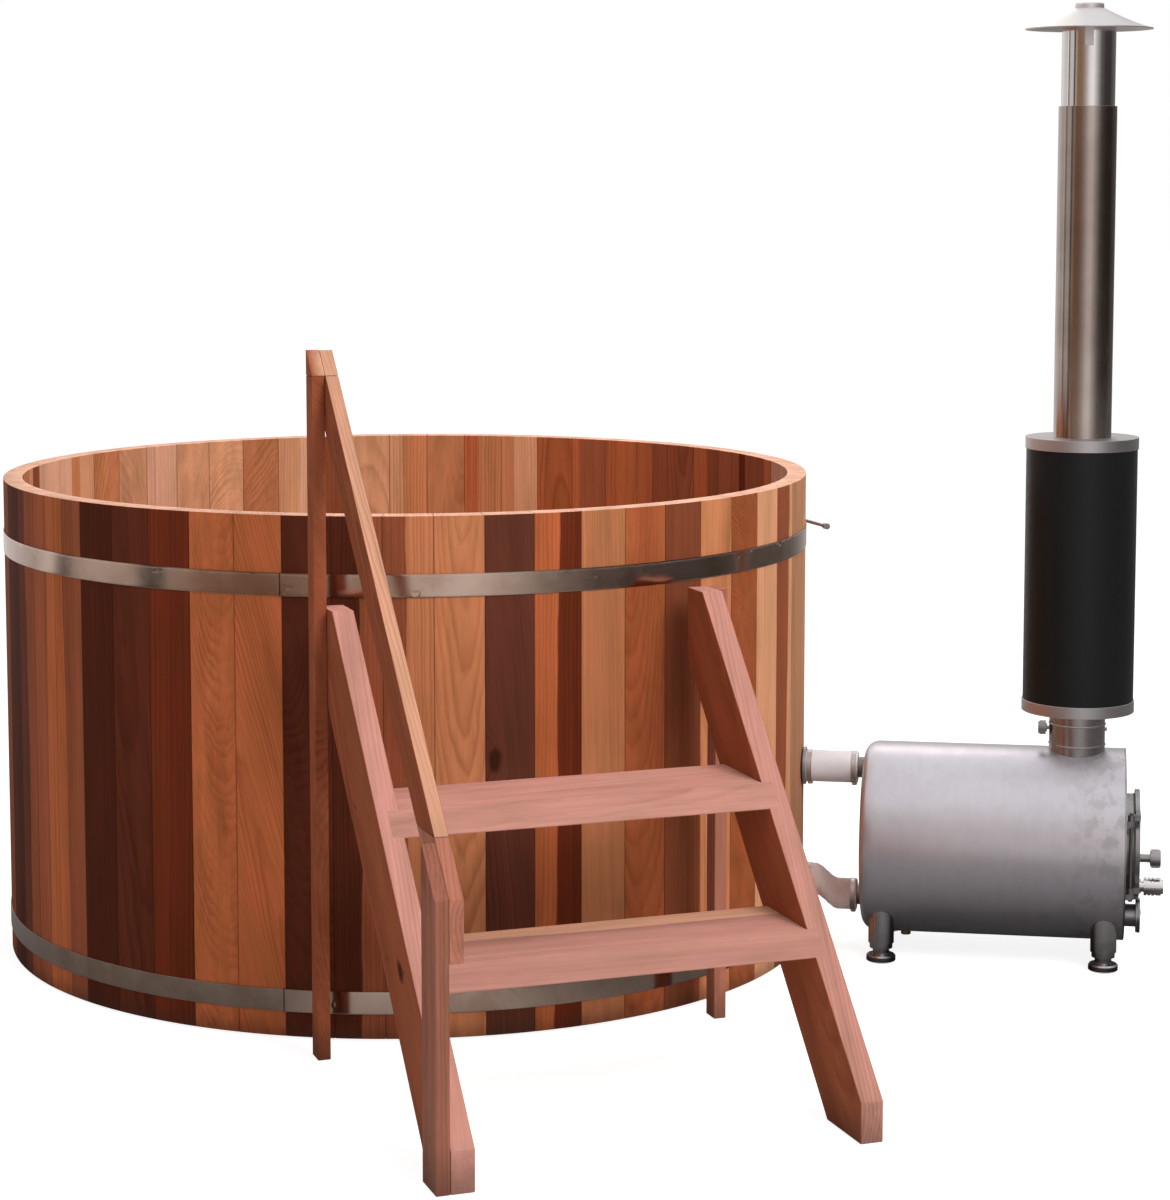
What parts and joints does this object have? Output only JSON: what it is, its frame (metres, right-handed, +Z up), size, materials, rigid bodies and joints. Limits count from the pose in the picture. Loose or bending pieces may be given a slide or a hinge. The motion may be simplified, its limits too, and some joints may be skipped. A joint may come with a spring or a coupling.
{
  "type": "wooden hot tub",
  "caption": "Round stave hot tub with steel hoops and benches, a free-standing stair with a handrail, and an outside wood stove on water hoses with a hinged door and a shielded chimney.",
  "frame": {"origin": "on the ground under the middle of the tub, on the underside of its middle floor bearer", "axes": "+X from the tub's middle to the stove's door, +Y away from the stair's side, +Z up along the tub's axis"},
  "size_m": [2.5998, 2.6372, 2.084],
  "materials": {
    "cedar_dark": "oiled heartwood, dark",
    "cedar_red": "oiled heartwood, red-brown",
    "cedar_orange": "oiled heartwood, orange",
    "cedar_light": "oiled, light",
    "brushed_steel": "brushed stainless",
    "dull_steel": "dull stainless",
    "cedar_plain": "planed, lightly oiled",
    "black_rubber": "black rubber",
    "hose_light": "light rubber hose",
    "hose_dull": "weathered rubber hose",
    "cast_iron": "cast, scaled",
    "seal_cord": "woven glass cord",
    "polished_steel": "polished stainless",
    "brass": "plain brass",
    "black_enamel": "black heat-proof paint"
  },
  "bodies": {
    "tub": {"staves_dark": "cedar_dark", "staves_red": "cedar_red", "staves_orange": "cedar_orange", "staves_light": "cedar_light", "hoops": "brushed_steel", "tension_rods": "dull_steel", "rod_nuts": "brushed_steel", "floor_bearers": "cedar_plain", "floor_boards": "cedar_plain", "bench_supports": "cedar_plain", "bench_seats": "cedar_plain", "drain_fitting": "brushed_steel", "drain_locknut": "dull_steel", "wall_fittings": "brushed_steel", "wall_seals": "black_rubber", "wall_locknuts": "brushed_steel", "water_grilles": "brushed_steel", "upper_hose": "hose_light", "lower_hose": "hose_dull", "hose_clamps": "dull_steel", "left_stringer": "cedar_plain", "right_stringer": "cedar_plain", "treads": "cedar_plain", "tall_post": "cedar_plain", "back_leg": "cedar_plain", "front_post": "cedar_plain", "handrail": "cedar_plain", "stair_screws": "brushed_steel", "stove_jacket": "brushed_steel", "dished_end": "brushed_steel", "front_plate": "brushed_steel", "firebox": "dull_steel", "stove_ports": "dull_steel", "grate": "cast_iron", "door_frame": "dull_steel", "hinge_brackets": "brushed_steel", "hinge_pin": "dull_steel", "air_tube": "brushed_steel", "leg_sockets": "dull_steel", "flue_collar": "dull_steel", "shield_rings": "dull_steel", "heat_shield": "black_enamel", "lower_flue": "brushed_steel", "upper_flue": "polished_steel", "rain_cap": "polished_steel"},
    "door": {"door": "brushed_steel", "door_seal": "seal_cord", "door_handle": "brushed_steel"},
    "latch": {"latch_knob": "polished_steel", "latch_tongue": "dull_steel"},
    "air_cover": {"air_cover": "brushed_steel"},
    "damper": {"damper_plate": "dull_steel", "damper_spindle": "dull_steel"},
    "drain_plug": {"drain_plug": "black_rubber"},
    "stove_drain_plug": {"stove_drain_plug": "brass"},
    "foot_1": {"foot_1": "brushed_steel"},
    "foot_2": {"foot_2": "brushed_steel"},
    "foot_3": {"foot_3": "brushed_steel"},
    "foot_4": {"foot_4": "brushed_steel"}
  },
  "joints": [
    {"name": "door_hinge", "type": "hinge", "parent": "tub", "child": "door", "pos_m": [1.623, -0.1285, 0.25], "axis": [0, 0, -1], "range_deg": [0, 110]},
    {"name": "latch_turn", "type": "hinge", "parent": "door", "child": "latch", "pos_m": [1.64, 0, 0.156], "axis": [-1, 0, 0], "range_deg": [0, 90]},
    {"name": "air_cover_swing", "type": "hinge", "parent": "tub", "child": "air_cover", "pos_m": [1.645, 0.0285, 0.09], "axis": [1, 0, 0], "range_deg": [0, 150]},
    {"name": "damper_turn", "type": "hinge", "parent": "tub", "child": "damper", "pos_m": [1.505, 0, 0.505], "axis": [1, 0, 0], "range_deg": [0, 90]},
    {"name": "drain_plug_lift", "type": "slide", "parent": "tub", "child": "drain_plug", "axis": [0, 0, 1], "range_m": [0, 0.06]},
    {"name": "stove_drain_turn", "type": "hinge", "parent": "tub", "child": "stove_drain_plug", "pos_m": [1.135, 0, 0.03], "axis": [0, 0, 1], "range_deg": [0, 360]},
    {"name": "foot_1_turn", "type": "hinge", "parent": "tub", "child": "foot_1", "pos_m": [1.088, -0.135, 0.02], "axis": [0, 0, 1], "range_deg": [-360, 360]},
    {"name": "foot_2_turn", "type": "hinge", "parent": "tub", "child": "foot_2", "pos_m": [1.568, -0.135, 0.02], "axis": [0, 0, 1], "range_deg": [-360, 360]},
    {"name": "foot_3_turn", "type": "hinge", "parent": "tub", "child": "foot_3", "pos_m": [1.568, 0.135, 0.02], "axis": [0, 0, 1], "range_deg": [-360, 360]},
    {"name": "foot_4_turn", "type": "hinge", "parent": "tub", "child": "foot_4", "pos_m": [1.088, 0.135, 0.02], "axis": [0, 0, 1], "range_deg": [-360, 360]}
  ]
}
